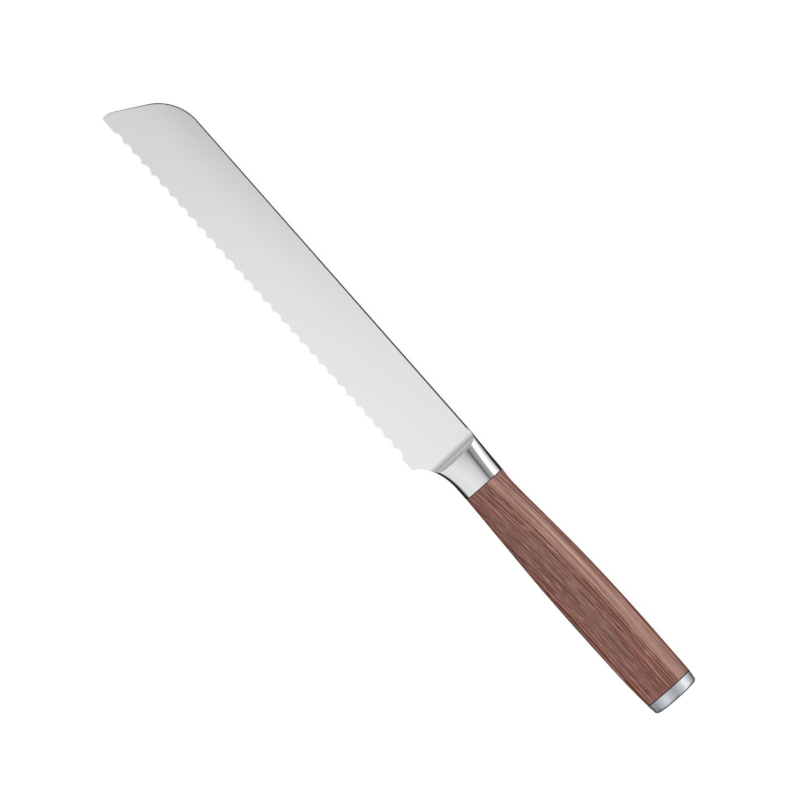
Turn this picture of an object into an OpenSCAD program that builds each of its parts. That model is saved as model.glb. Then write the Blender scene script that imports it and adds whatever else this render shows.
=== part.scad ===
// Forged bread knife: a scalloped blade with an integral bolster, a one-piece wooden
// grip on a hidden tang, and a steel cap on the butt. The knife lies on its side.
// +X runs from tip to butt, +Y from edge to spine, and +Z is up, out of the blade's
// left face. The origin is under the middle of the knife, on the surface it lies on.

/* [Blade] */
// Length from the tip to the front of the bolster
blade_len = 200; // [150:1:260]
// Height from the edge to the spine
blade_h = 28.9; // [24:0.1:40]
// Thickness of the spine at the heel
spine_t = 2.2; // [1.6:0.1:3.2]
// Thickness at the edge line at the heel, before the edge is ground
edge_t = 0.6; // [0.45:0.05:1]
// Thickness that the blade loses from heel to tip
distal_taper = 0.4; // [0:0.05:0.4]
// Slope of the front of the tip
nose_angle = 61; // [45:1:80]
// Radius of the curve from the front of the tip to the spine
nose_r = 21; // [8:0.1:30]
// Height of the upright front edge, below the slope
nose_land = 3.5; // [1.5:0.1:6]
// Radius between the upright front edge and the slope
nose_blend_r = 6; // [1:0.5:8]
// Radius of the lower corner of the tip
tip_r = 1; // [0.3:0.1:1.4]
// Length of plain edge between the heel corner and the bolster
choil_len = 6.7; // [5:0.1:14]

/* [Scalloped edge] */
// Length of plain edge at the tip
tip_plain = 8.1; // [3:0.1:20]
// Shortest length of plain edge at the heel
heel_plain = 6.6; // [3:0.1:20]
// Distance from tooth to tooth
pitch = 5.78; // [4:0.02:9]
// Width of a flat tooth tip
tooth_w = 0.98; // [0.4:0.02:1.8]
// Depth of a scallop
scallop_depth = 1.1; // [0.6:0.05:2]
// Height that the row of teeth gains from tip to heel
teeth_rise = 0.6; // [0:0.05:1]
// Angle between a scallop and the left face
scallop_angle = 20; // [14:1:30]
// Angle between the plain edge's bevel and the left face
bevel_angle = 15; // [10:1:25]
// Thickness left at the very edge
edge_land = 0.08; // [0.04:0.01:0.15]

/* [Bolster] */
// Length from the front of the bolster to the grip
bolster_len = 16.9; // [12:0.1:30]
// Thickness of the bolster at the foot of its ramp, if it were not hollowed there
bolster_front_w = 8; // [3.6:0.1:10]
// Radius of the hollow ramp from the blade up to the bolster
ramp_r = 5.4; // [4:0.1:8]
// Distance that the ramp's foot stands ahead of the bolster at the spine
ramp_lead = 3.8; // [1:0.1:5]
// Distance that the ramp's foot falls back over the blade's height
ramp_skew = 1; // [0:0.1:4]
// Distance from the heel corner to where the choil runs level into the grip
choil_run = 17.7; // [12:0.1:18]
// Distance of the choil curve's centre below the edge line
choil_drop = 3; // [1:0.1:3]

/* [Grip] */
// Length of the wood
handle_len = 112.6; // [95:0.1:140]
// Height of the grip's underside above the edge line, at the bolster
grip_low = 8.74; // [6:0.02:14]
// Height of the grip at the bolster
grip_front_h = 19.56; // [16:0.02:25]
// Height of the grip at the palm swell
grip_palm_h = 23.9; // [19:0.1:30]
// Height of the grip at the butt
grip_butt_h = 22.7; // [18.8:0.1:28]
// Width of the grip at the bolster
grip_front_w = 14.5; // [12:0.1:18]
// Width of the grip at the palm swell
grip_palm_w = 19.5; // [16:0.1:24]
// Width of the grip at the butt
grip_butt_w = 18.2; // [15:0.1:22]
// Squareness of the grip's section: 2 is an ellipse
grip_square = 2.4; // [2:0.1:3]
// Squareness of the bolster's section at its front
bolster_square = 2; // [2:0.1:2.6]

/* [Spacers and end cap] */
// Thickness of the fibre spacer at the bolster
front_spacer_t = 0.3; // [0.2:0.05:2]
// Thickness of the fibre spacer at the cap
rear_spacer_t = 0.4; // [0.2:0.05:2]
// Length of the end cap
cap_len = 5.6; // [4.4:0.1:12]
// Distance that the cap's sides draw in towards its rear face
cap_draft = 0.4; // [0:0.1:1]
// Radius of the rounded rim of the cap
cap_rim_r = 1.5; // [0.5:0.1:2.4]
// Height of the crown on the cap's rear face
cap_crown = 0.6; // [0.2:0.1:1.2]
// Metal left behind the pins in the cap
cap_floor = 2; // [1.6:0.1:3]

/* [Tang and fixings] */
// Height of the flat tang
tang_h = 9; // [7:0.1:11]
// Thickness of the flat tang
tang_t = 4; // [3:0.1:5]
// Length of the flat tang
tang_len = 74; // [50:1:80]
// Distance of the tang's axis above the middle of the grip's front
tang_lift = 0.7; // [-1:0.1:1.5]
// Diameter of the threaded tail
tail_d = 5; // [4:0.5:6]
// Room for epoxy around the tang
bed_gap = 0.4; // [0.2:0.05:0.8]
// Room around the tail in the wood and the washer
tail_gap = 0.3; // [0.15:0.05:0.5]
// Room around the tail in the nut
thread_gap = 0.05; // [0.02:0.01:0.1]
// Diameter of the well for the nut in the butt
well_d = 12; // [11:0.1:13]
// Depth of the well
well_depth = 10; // [8:0.1:16]
// Room around the washer in the well
well_gap = 0.75; // [0.3:0.05:1]
// Thickness of the washer
washer_t = 1; // [0.8:0.1:1.6]
// Width of the nut across its flats
nut_w = 8; // [7:0.1:8.5]
// Height of the nut
nut_h = 4; // [3:0.1:5]
// Length of the tail that stands out of the nut
tail_stand = 1.5; // [0.5:0.1:2]
// Diameter of the cap pins
pin_d = 2.5; // [1.5:0.1:2.6]
// Length of a cap pin in the wood
pin_in_wood = 5; // [3:0.1:8]
// Room at each end and around a cap pin
pin_gap = 0.02; // [0.01:0.01:0.05]

/* [Hidden] */

$fn = 64;
ring_points = 40;
grip_steps = 20;
arc_steps = 14;
// Cuts run this far past the faces they open
past = 1;
// The bolster stands this much proud of the blade's own edges inside it, and the
// ramp is cut this much below the blade's face
lip = 0.05;
sink = 0.02;

// Places along the knife, from the tip
grip_x = blade_len + bolster_len;
handle_x = grip_x + front_spacer_t;
butt_x = handle_x + handle_len;
cap_x = butt_x + rear_spacer_t;
overall_len = cap_x + cap_len;
heel_x = blade_len - choil_len;
ramp_x = blade_len - ramp_lead;
tang_end_x = grip_x + tang_len;
well_x = butt_x - well_depth;
tail_end_x = well_x + washer_t + nut_h + tail_stand;

// Places above the edge line
grip_high = grip_low + grip_front_h;
grip_mid = grip_low + grip_front_h / 2;
tang_y = grip_mid + tang_lift;

// Each side of the blade is one plane: half its thickness is side_z + side_x * x + side_y * y
side_x = distal_taper / 2 / blade_len;
side_y = (spine_t - edge_t) / 2 / blade_h;
side_z = (edge_t - distal_taper) / 2;
function side(x, y) = side_z + side_x * x + side_y * y;

// The scallops fill the edge between the two plain lengths
scallop_w = pitch - tooth_w;
scallop_count = floor((heel_x - heel_plain - tip_plain + tooth_w) / pitch);
first_scallop_x = tip_plain + scallop_w / 2;
last_scallop_x = first_scallop_x + (scallop_count - 1) * pitch;
scallop_sag = scallop_depth * sin(scallop_angle);
scallop_r = (pow(scallop_w / 2, 2) + pow(scallop_sag, 2)) / (2 * scallop_sag);
scallop_cut_len = 16;

function mix(a, b, share) = a + (b - a) * share;

// The swell of the grip from its neck to the palm: place along the wood, as a share of
// its length, and how much of the change in height, in lift and in width has come there
swell = [[0.24, 0.40, 0.10, 0.36], [0.40, 0.78, 0.45, 0.72], [0.57, 0.97, 0.75, 0.95]];
neck_place = 0.05;
palm_place = 0.73;
heel_place = 0.88;
neck_waist = 0.2;
neck_dip = -0.25;
palm_lift = 0.9;
heel_lift = 1;
butt_lift = 1.35;
heel_share_h = 0.28;
heel_share_w = 0.42;

// The grip's shape along the wood: place, height, distance of its middle above
// grip_mid, and width
stations = concat(
    [[0, grip_front_h, 0, grip_front_w]],
    [[neck_place, grip_front_h - neck_waist, neck_dip, grip_front_w]],
    [for (p = swell) [
        p[0],
        mix(grip_front_h, grip_palm_h, p[1]),
        palm_lift * p[2],
        mix(grip_front_w, grip_palm_w, p[3])
    ]],
    [[palm_place, grip_palm_h, palm_lift, grip_palm_w]],
    [[
        heel_place,
        mix(grip_palm_h, grip_butt_h, heel_share_h),
        heel_lift,
        mix(grip_palm_w, grip_butt_w, heel_share_w)
    ]],
    [[1, grip_butt_h, butt_lift, grip_butt_w]]
);

// Slope of column k at station i, from the stations beside it
function slope(table, i, k) = let (a = max(i - 1, 0), b = min(i + 1, len(table) - 1))
    (table[b][k] - table[a][k]) / (table[b][0] - table[a][0]);

// Column k at place s, on a smooth curve through the stations
function along(table, s, k) = let (
        i = max([for (j = [0:len(table) - 2]) if (table[j][0] <= s) j]),
        width = table[i + 1][0] - table[i][0],
        u = (s - table[i][0]) / width)
    table[i][k] * (2 * u ^ 3 - 3 * u ^ 2 + 1) + table[i + 1][k] * (3 * u ^ 2 - 2 * u ^ 3)
    + width * (slope(table, i, k) * (u ^ 3 - 2 * u ^ 2 + u) + slope(table, i + 1, k) * (u ^ 3 - u ^ 2));

// Height of the grip's middle line above the edge line
function grip_middle(s) = grip_mid + along(stations, s, 2);

// A power that keeps the sign of its base
function signed_pow(v, p) = sign(v) * pow(abs(v), p);

// Points of an oval across the knife, with squareness q and a flat of half-width land
// at its top and bottom
function oval(x, low, high, half_w, q, land = 0) = [
    for (i = [0:ring_points - 1]) let (
        a = 360 * i / ring_points,
        flat = abs(cos(a)) < 1e-6 ? 0 : sign(cos(a)) * land) [
        x,
        (low + high) / 2 + (high - low) / 2 * signed_pow(sin(a), 2 / q),
        flat + (half_w - land) * signed_pow(cos(a), 2 / q)
    ]
];

// The grip's section at share s of the wood's length, placed at x and drawn in by inset
function grip_ring(s, x, inset = 0) = let (
        half_h = along(stations, s, 1) / 2 - inset,
        half_w = along(stations, s, 3) / 2 - inset)
    oval(x, grip_middle(s) - half_h, grip_middle(s) + half_h, half_w, grip_square);

// The choil: part of an ellipse from the heel corner up to the grip
choil_h = grip_low + choil_drop;
heel_angle = asin(choil_drop / choil_h);
choil_w = choil_run / cos(heel_angle);
level_x = heel_x + choil_run;
function choil(angle) = [level_x - choil_w * cos(angle), choil_h * sin(angle) - choil_drop];
choil_step = 5;
first_choil_angle = 20;
// Angles on the choil where the bolster begins and where the blade's plate ends inside it
bolster_angle = 30;
plate_angle = 65;

// How far along the bolster x lies, eased so that the bolster runs out into the grip
bolster_ease = 1.4;
function bolster_share(x) = 1 - (1 - max(0, (x - ramp_x) / (grip_x - ramp_x))) ^ bolster_ease;
function bolster_top(x) = mix(blade_h, grip_high, bolster_share(x));
function bolster_ring(p) = let (share = bolster_share(p.x))
    oval(p.x, p.y - lip, bolster_top(p.x) + lip, mix(bolster_front_w, grip_front_w, share) / 2,
        mix(bolster_square, grip_square, share), mix(side(p.x, blade_h), 0, share));
level_steps = 3;
bolster_underside = concat(
    [for (angle = [bolster_angle:choil_step:90]) choil(angle)],
    [for (i = [1:level_steps]) [mix(level_x, grip_x, i / level_steps), grip_low]]
);

// Points of the arc that rounds the corner at b between the lines to a and to c
function corner_arc(a, b, c, r) = let (
        u = (a - b) / norm(a - b),
        v = (c - b) / norm(c - b),
        half = acos(u * v) / 2,
        centre = b + (u + v) / norm(u + v) * r / sin(half),
        from = b + u * r / tan(half) - centre,
        to = b + v * r / tan(half) - centre,
        start = atan2(from.y, from.x),
        turn = (atan2(to.y, to.x) - start + 540) % 360 - 180)
    [for (i = [0:arc_steps]) let (angle = start + turn * i / arc_steps)
        centre + r * [cos(angle), sin(angle)]];

// Outline of the blade's plate, seen from its left side
nose_top = [(blade_h - nose_land) / tan(nose_angle), blade_h];
nose_foot = [0, nose_land];
plate_outline = concat(
    corner_arc([grip_x, blade_h], nose_top, nose_foot, nose_r),
    corner_arc(nose_top, nose_foot, [0, 0], nose_blend_r),
    corner_arc(nose_foot, [0, 0], [tip_plain, 0], tip_r),
    [[tip_plain, 0], [last_scallop_x, teeth_rise], [last_scallop_x, 0]],
    [choil(heel_angle)],
    [for (angle = [first_choil_angle:choil_step:plate_angle]) choil(angle)],
    [for (angle = [plate_angle:-choil_step:bolster_angle]) [choil(angle).x, bolster_top(choil(angle).x)]]
);

// Everything below the plane z = z0 + slope_x * x + slope_y * y
module under_plane(z0, slope_x, slope_y) {
    reach = 2 * overall_len;
    translate([0, 0, z0])
    rotate([atan(slope_y * cos(atan(slope_x))), -atan(slope_x), 0])
    translate([-reach, -reach, -reach])
        cube([2 * reach, 2 * reach, reach]);
}

// Solid skin over a row of rings with equal numbers of points, closed at both ends
module loft(rings) {
    n = len(rings[0]);
    last = len(rings) - 1;
    points = [for (ring = rings) each ring];
    front = [for (j = [n - 1:-1:0]) j];
    rear = [for (j = [0:n - 1]) last * n + j];
    sides = [for (i = [0:last - 1], j = [0:n - 1]) let (k = (j + 1) % n)
        [i * n + j, i * n + k, (i + 1) * n + k, (i + 1) * n + j]];
    polyhedron(points, concat([front], sides, [rear]), convexity = 4);
}

// Round bar along the knife at height y, from x0 to x1
module bar(d, x0, x1, y = tang_y) {
    translate([x0, y, 0])
    rotate([0, 90, 0])
        cylinder(d = d, h = x1 - x0);
}

// Flat bar the size of the tang plus a gap all round, from x0 to x1
module flat_bar(gap, x0, x1) {
    translate([x0, tang_y - tang_h / 2 - gap, -tang_t / 2 - gap])
        cube([x1 - x0, tang_h + 2 * gap, tang_t + 2 * gap]);
}

// Thin plate with the outline of the grip at share s of the wood's length
module grip_plate(s, x, t) {
    translate([x, 0, 0])
    rotate([90, 0, 90])
    linear_extrude(t)
        polygon([for (p = grip_ring(s, 0)) [p.y, p.z]]);
}

// Turns the knife's own frame, with its edge line and middle plane at zero, into the part's
module lay_down() {
    low = min([for (s = [0:0.05:1]) grip_middle(s) - along(stations, s, 1) / 2]);
    high = max([for (s = [0:0.01:1]) grip_middle(s) + along(stations, s, 1) / 2]);
    widest = max([for (i = [0:grip_steps]) along(stations, i / grip_steps, 3)]);
    translate([-overall_len / 2, -(min(0, low) + max(blade_h + lip, high)) / 2, widest / 2])
        children();
}

// Ground plate of the blade, before the scallops
module plate() {
    intersection() {
        translate([0, 0, -spine_t])
        linear_extrude(2 * spine_t)
            polygon(plate_outline);
        under_plane(side_z, side_x, side_y);
        mirror([0, 0, 1])
            under_plane(side_z, side_x, side_y);
    }
}

// One scallop, ground into the right face at place i along the edge
module scallop(i) {
    x = first_scallop_x + i * pitch;
    y = scallop_depth + teeth_rise * (x - tip_plain) / (last_scallop_x - tip_plain);
    translate([x, y, side(x, y)])
    rotate([-90 - scallop_angle, 0, 0])
    translate([0, scallop_r, -scallop_cut_len / 2])
        cylinder(r = scallop_r, h = scallop_cut_len);
}

// What is ground off the bolster in front of its hollow ramp, on the left side
module ramp_cut() {
    depth = blade_h + 2 * past;
    translate([ramp_x, blade_h, side(ramp_x, blade_h) - sink])
    rotate([atan(side_y), 0, atan(ramp_skew / blade_h)]) {
        translate([0, past, ramp_r])
        rotate([90, 0, 0])
            cylinder(r = ramp_r, h = depth);
        translate([-depth, past - depth, 0])
            cube([depth, depth, grip_front_w]);
    }
}

// Bolster, with the hollow ramps that rise to it from both faces of the blade
module bolster() {
    difference() {
        loft([for (p = bolster_underside) bolster_ring(p)]);
        ramp_cut();
        mirror([0, 0, 1])
            ramp_cut();
    }
}

module forged_blade() {
    color("#c8cacc")
    lay_down()
    union() {
        difference() {
            plate();
            under_plane(side_z - edge_land, side_x, -tan(bevel_angle));
            for (i = [0:scallop_count - 1])
                scallop(i);
        }
        bolster();
        flat_bar(0, grip_x - past, tang_end_x);
        bar(tail_d, tang_end_x - past, tail_end_x);
    }
}

module front_spacer() {
    color("#1c1a1a")
    lay_down()
    difference() {
        grip_plate(0, grip_x, front_spacer_t);
        flat_bar(bed_gap, grip_x - past, handle_x + past);
    }
}

// Heights of the two cap pins, midway between the well and the outside of the butt
function pin_y(up) = (tang_y + up * well_d / 2 + grip_middle(1) + up * grip_butt_h / 2) / 2;

module handle() {
    color("#895f55")
    lay_down()
    difference() {
        loft([for (i = [0:grip_steps]) grip_ring(i / grip_steps, handle_x + i / grip_steps * handle_len)]);
        flat_bar(bed_gap, handle_x - past, tang_end_x + bed_gap);
        bar(tail_d + 2 * tail_gap, tang_end_x - past, well_x + past);
        bar(well_d, well_x, butt_x + past);
        for (up = [-1, 1])
            bar(pin_d + 2 * pin_gap, butt_x - pin_in_wood - pin_gap, butt_x + past, pin_y(up));
    }
}

module tang_bedding() {
    color("#d8c98c")
    lay_down()
    difference() {
        flat_bar(bed_gap, grip_x, tang_end_x + bed_gap);
        flat_bar(0, grip_x - past, tang_end_x);
        bar(tail_d, tang_end_x - past, tang_end_x + past);
    }
}

module tang_washer() {
    color("#9ea2a6")
    lay_down()
    difference() {
        bar(well_d - 2 * well_gap, well_x, well_x + washer_t);
        bar(tail_d + 2 * tail_gap, well_x - past, well_x + washer_t + past);
    }
}

module tang_nut() {
    nut_x = well_x + washer_t;
    color("#b3b6b8")
    lay_down()
    difference() {
        translate([nut_x, tang_y, 0])
        rotate([0, 90, 0])
            cylinder(d = nut_w / cos(30), h = nut_h, $fn = 6);
        bar(tail_d + 2 * thread_gap, nut_x - past, nut_x + nut_h + past);
    }
}

module rear_spacer() {
    color("#1c1a1a")
    lay_down()
    difference() {
        grip_plate(1, butt_x, rear_spacer_t);
        for (up = [-1, 1])
            bar(pin_d + 2 * pin_gap, butt_x - past, cap_x + past, pin_y(up));
    }
}

module end_cap() {
    rim_x = overall_len - cap_crown - cap_rim_r;
    crown_inset = cap_draft + cap_rim_r;
    crown_steps = 4;
    crown_reach = 0.9 * (grip_butt_w / 2 - crown_inset);
    color("#b9bdbf")
    lay_down()
    difference() {
        loft(concat(
            [grip_ring(1, cap_x)],
            [for (a = [0:15:90])
                grip_ring(1, rim_x + cap_rim_r * sin(a), crown_inset - cap_rim_r * cos(a))],
            [for (i = [1:crown_steps]) let (share = i / crown_steps, rise = 1 - (1 - share) ^ 2)
                grip_ring(1, rim_x + cap_rim_r + cap_crown * rise, crown_inset + share * crown_reach)]
        ));
        for (up = [-1, 1])
            bar(pin_d + 2 * pin_gap, cap_x - past, overall_len - cap_floor, pin_y(up));
    }
}

module cap_pins() {
    color("#8f9396")
    lay_down()
    for (up = [-1, 1])
        bar(pin_d, butt_x - pin_in_wood, overall_len - cap_floor - pin_gap, pin_y(up));
}

forged_blade();
front_spacer();
handle();
tang_bedding();
tang_washer();
tang_nut();
rear_spacer();
end_cap();
cap_pins();
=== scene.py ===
"""A forged bread knife with a wooden grip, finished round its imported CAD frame.

The knife lies on its side: +X runs from tip to butt, +Y from edge to spine, and +Z is up,
out of the blade's left face. Sizes below are in millimetres along those directions, counted
from the tip, from the edge line and from the middle plane, and Layout turns them into the
frame's metres.
"""

import logging
import math
from collections.abc import Callable, Iterator
from contextlib import contextmanager
from dataclasses import dataclass
from enum import Enum

import bmesh
import bpy
from mathutils import Euler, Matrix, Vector


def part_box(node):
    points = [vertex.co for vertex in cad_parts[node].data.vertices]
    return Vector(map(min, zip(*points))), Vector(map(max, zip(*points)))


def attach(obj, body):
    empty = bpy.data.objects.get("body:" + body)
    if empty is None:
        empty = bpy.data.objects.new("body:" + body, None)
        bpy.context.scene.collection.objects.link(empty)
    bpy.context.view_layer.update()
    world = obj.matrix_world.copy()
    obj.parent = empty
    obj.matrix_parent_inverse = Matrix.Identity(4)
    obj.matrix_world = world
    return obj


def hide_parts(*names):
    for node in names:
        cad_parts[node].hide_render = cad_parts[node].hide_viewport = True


MM = 0.001
ROOT = "root"
LOG = logging.getLogger("bread_knife")

Test = Callable[[Vector, Vector], bool]
Lengths = tuple[float, float, float]
Stops = tuple[tuple[float, float], ...]
Feed = bpy.types.NodeSocket | float | tuple[float, ...]

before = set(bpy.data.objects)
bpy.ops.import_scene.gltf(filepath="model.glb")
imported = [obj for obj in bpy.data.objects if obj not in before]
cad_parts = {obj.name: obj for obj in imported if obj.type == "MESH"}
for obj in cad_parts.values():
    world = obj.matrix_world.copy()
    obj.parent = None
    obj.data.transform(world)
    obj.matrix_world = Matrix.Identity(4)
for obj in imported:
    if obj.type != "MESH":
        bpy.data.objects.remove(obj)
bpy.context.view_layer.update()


class Side(Enum):
    """A side of the knife, with the sign of its z."""

    LEFT = 1
    RIGHT = -1


class Joinery(Enum):
    """What one solid does to another."""

    CUT = "DIFFERENCE"
    WELD = "UNION"


@dataclass(frozen=True)
class Section:
    """An oval across the knife.

    Args:
        x: Place along the knife.
        y: Height of its middle.
        half_h: Half its height.
        half_w: Half its width.
    """

    x: float
    y: float
    half_h: float
    half_w: float


@dataclass(frozen=True)
class Layout:
    """Where the frame puts the knife's joints, in millimetres from the tip's lower corner.

    Args:
        origin: The tip's end, on the edge line and in the middle plane, in metres.
        grip_x: Rear face of the bolster.
        handle_x: Front face of the wood.
        butt_x: Rear face of the wood.
        cap_x: Front face of the cap.
        end_x: Rear end of the knife.
        front: Section of the grip at the bolster.
        butt: Section of the grip at the cap.
    """

    origin: Vector
    grip_x: float
    handle_x: float
    butt_x: float
    cap_x: float
    end_x: float
    front: Section
    butt: Section

    @classmethod
    def from_frame(cls) -> "Layout":
        """Read the layout from the boxes of the frame's nodes.

        Returns:
            The knife's layout.
        """
        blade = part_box("forged_blade")
        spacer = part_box("front_spacer")
        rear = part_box("rear_spacer")
        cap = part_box("end_cap")
        origin = Vector((blade[0].x, blade[0].y, (spacer[0].z + spacer[1].z) / 2))

        def section(box: tuple[Vector, Vector]) -> Section:
            """Give the oval that fills the front face of a box."""
            middle, half = (box[0] + box[1]) / 2 - origin, (box[1] - box[0]) / 2
            return Section((box[0].x - origin.x) / MM, middle.y / MM, half.y / MM, half.z / MM)

        return cls(
            origin=origin,
            grip_x=(spacer[0].x - origin.x) / MM,
            handle_x=(spacer[1].x - origin.x) / MM,
            butt_x=(rear[0].x - origin.x) / MM,
            cap_x=(rear[1].x - origin.x) / MM,
            end_x=(cap[1].x - origin.x) / MM,
            front=section(spacer),
            butt=section(rear),
        )

    def at(self, x: float, y: float, z: float) -> Vector:
        """Turn a place on the knife into the frame's metres.

        Args:
            x: Distance from the tip.
            y: Height above the edge line.
            z: Distance out of the middle plane, to the left.

        Returns:
            The place in the frame.
        """
        return self.origin + Vector((x, y, z)) * MM


KNIFE = Layout.from_frame()


class Workpiece:
    """One mesh on the bench, shaped with the tools of edit mode."""

    def __init__(self, name: str) -> None:
        """Take up the primitive that was added last and settle its place in its mesh.

        Args:
            name: The piece's name.
        """
        self.obj: bpy.types.Object = bpy.context.object
        self.obj.name = name
        self.obj.data.name = name
        bpy.ops.object.transform_apply(location=True, rotation=True, scale=True)

    @classmethod
    def block(cls, name: str, low: Vector, high: Vector) -> "Workpiece":
        """Add a block.

        Args:
            name: The piece's name.
            low: Its lowest corner, in metres.
            high: Its highest corner, in metres.

        Returns:
            The block.
        """
        bpy.ops.mesh.primitive_cube_add(size=1, location=(low + high) / 2, scale=high - low)
        return cls(name)

    @classmethod
    def turned_block(cls, name: str, centre: Vector, size: Vector, turn: Euler) -> "Workpiece":
        """Add a block that stands at an angle.

        Args:
            name: The piece's name.
            centre: Its middle, in metres.
            size: Its three lengths, in metres.
            turn: How it is turned.

        Returns:
            The block.
        """
        bpy.ops.mesh.primitive_cube_add(size=1, location=centre, rotation=turn, scale=size)
        return cls(name)

    @classmethod
    def rod(cls, name: str, centre: Vector, radius: float, length: float, turn: Euler,
            sides: int = 64) -> "Workpiece":
        """Add a round rod.

        Args:
            name: The piece's name.
            centre: Its middle, in metres.
            radius: Its radius, in metres.
            length: Its length, in metres.
            turn: How it is turned from upright.
            sides: Number of its sides.

        Returns:
            The rod.
        """
        bpy.ops.mesh.primitive_cylinder_add(
            vertices=sides, radius=radius, depth=length, location=centre, rotation=turn
        )
        return cls(name)

    @classmethod
    def oval(cls, name: str, section: Section, squareness: float, sides: int = 96) -> "Workpiece":
        """Add a filled oval across the knife, with its sides squared off.

        Args:
            name: The piece's name.
            section: The oval's place and size.
            squareness: 2 for an ellipse, more for flatter sides.
            sides: Number of its corners.

        Returns:
            The oval.
        """
        middle = KNIFE.at(section.x, section.y, 0)
        bpy.ops.mesh.primitive_circle_add(
            vertices=sides, radius=1, fill_type="NGON", location=middle, rotation=(0, math.pi / 2, 0)
        )
        piece = cls(name)
        for corner in piece.obj.data.vertices:
            out = corner.co - middle
            up, aside = [math.copysign(abs(part) ** (2 / squareness), part) for part in out.yz]
            corner.co.y = middle.y + up * section.half_h * MM
            corner.co.z = middle.z + aside * section.half_w * MM
        return piece

    @contextmanager
    def editing(self) -> Iterator[None]:
        """Open the mesh in edit mode with nothing selected, and close it afterwards."""
        self.take_up()
        bpy.ops.object.mode_set(mode="EDIT")
        bpy.ops.mesh.select_mode(type="FACE")
        bpy.ops.mesh.select_all(action="DESELECT")
        yield
        bpy.ops.object.mode_set(mode="OBJECT")

    def take_up(self) -> None:
        """Select this piece alone."""
        bpy.ops.object.select_all(action="DESELECT")
        self.obj.select_set(True)
        bpy.context.view_layer.objects.active = self.obj

    def pick_edges(self, wanted: Test) -> None:
        """Select edges in edit mode.

        Args:
            wanted: Test of an edge's two ends.
        """
        bpy.ops.mesh.select_mode(type="EDGE")
        mesh = bmesh.from_edit_mesh(self.obj.data)
        for edge in mesh.edges:
            edge.select_set(wanted(edge.verts[0].co, edge.verts[1].co))
        bmesh.update_edit_mesh(self.obj.data)

    def draw_out(self, sections: list[Section]) -> None:
        """Extrude the piece's one face from section to section, into a closed solid.

        Args:
            sections: The sections, the first of them the face's own.
        """
        with self.editing():
            bpy.ops.mesh.select_all(action="SELECT")
            for here, there in zip(sections, sections[1:]):
                step = KNIFE.at(there.x, there.y, 0) - KNIFE.at(here.x, here.y, 0)
                bpy.ops.mesh.extrude_region_move(TRANSFORM_OT_translate={"value": step})
                bpy.ops.transform.resize(
                    value=(1, there.half_h / here.half_h, there.half_w / here.half_w),
                    center_override=KNIFE.at(there.x, there.y, 0),
                )
        self.turn_out()

    def turn_out(self) -> None:
        """Make every face point outwards."""
        with self.editing():
            bpy.ops.mesh.select_all(action="SELECT")
            bpy.ops.mesh.normals_make_consistent(inside=False)

    def divide_into_triangles(self) -> None:
        """Split every face into triangles, so that a face that is not quite flat cuts cleanly."""
        with self.editing():
            bpy.ops.mesh.select_all(action="SELECT")
            bpy.ops.mesh.quads_convert_to_tris()

    def trim(self, point: Vector, normal: Vector) -> None:
        """Saw off what lies beyond a plane, and close the cut.

        Args:
            point: A point on the plane, in metres.
            normal: Direction of what is sawn off.
        """
        with self.editing():
            bpy.ops.mesh.select_all(action="SELECT")
            bpy.ops.mesh.bisect(plane_co=point, plane_no=normal, use_fill=True, clear_outer=True)

    def round_corner(self, corner: Vector, reach: float, segments: int, fullness: float = 0.5) -> None:
        """Round the edge that runs through the blade's thickness at one corner.

        Args:
            corner: A point over the corner, in metres.
            reach: Distance from the corner to each end of the arc, in metres.
            segments: Number of flats in the arc.
            fullness: Shape of the arc: 0.5 is a quarter circle on a square corner.
        """
        near = 0.05 * MM  # two ends this close to the corner stand on it

        def on_corner(first: Vector, second: Vector) -> bool:
            """Tell whether both ends of an edge stand on the corner."""
            return (first.xy - corner.xy).length < near and (second.xy - corner.xy).length < near

        with self.editing():
            self.pick_edges(on_corner)
            bpy.ops.mesh.bevel(
                offset_type="OFFSET", offset=reach, segments=segments, profile=fullness,
                affect="EDGES", clamp_overlap=False,
            )

    def apply(self, kind: str, **settings: object) -> None:
        """Add a modifier and apply it.

        Args:
            kind: The modifier's type.
            **settings: Its properties.
        """
        modifier = self.obj.modifiers.new(kind.lower(), kind)
        for name, value in settings.items():
            setattr(modifier, name, value)
        self.take_up()
        bpy.ops.object.modifier_apply(modifier=modifier.name)

    def join_with(self, joinery: Joinery, *others: "Workpiece") -> None:
        """Cut this piece with others or weld them to it, and use them up.

        Args:
            joinery: What the others do.
            *others: The other solids.
        """
        for other in others:
            self.apply("BOOLEAN", operation=joinery.value, solver="EXACT", object=other.obj)
            spent = other.obj.data
            bpy.data.objects.remove(other.obj)
            bpy.data.meshes.remove(spent)

    def smooth(self, degrees: float) -> None:
        """Shade the piece smooth, except across edges sharper than an angle.

        Args:
            degrees: The angle.
        """
        self.take_up()
        bpy.ops.object.shade_smooth_by_angle(angle=math.radians(degrees))
        self.apply("WEIGHTED_NORMAL", keep_sharp=True, weight=90)

    def paint(self, *coats: tuple[bpy.types.Material, Test]) -> None:
        """Give each face the last material whose test it passes.

        Args:
            *coats: Materials, each with a test of a face's middle, in knife millimetres, and normal.
        """
        for number, (material, wanted) in enumerate(coats):
            self.obj.data.materials.append(material)
            for face in self.obj.data.polygons:
                if wanted((face.center - KNIFE.origin) / MM, face.normal):
                    face.material_index = number

    def deliver(self, node: str, slot: str) -> None:
        """Hand the piece over in place of a CAD node.

        Args:
            node: The node that it replaces.
            slot: Name of its finish's material slot; not used.
        """
        self.obj.name = f"{node}_finished"
        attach(self.obj, ROOT)
        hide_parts(node)
        LOG.info("%s: %d faces", self.obj.name, len(self.obj.data.polygons))


def anywhere(_middle: Vector, _normal: Vector) -> bool:
    """Accept every face."""
    return True


# ---------------------------------------------------------------------------- finishes


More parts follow.
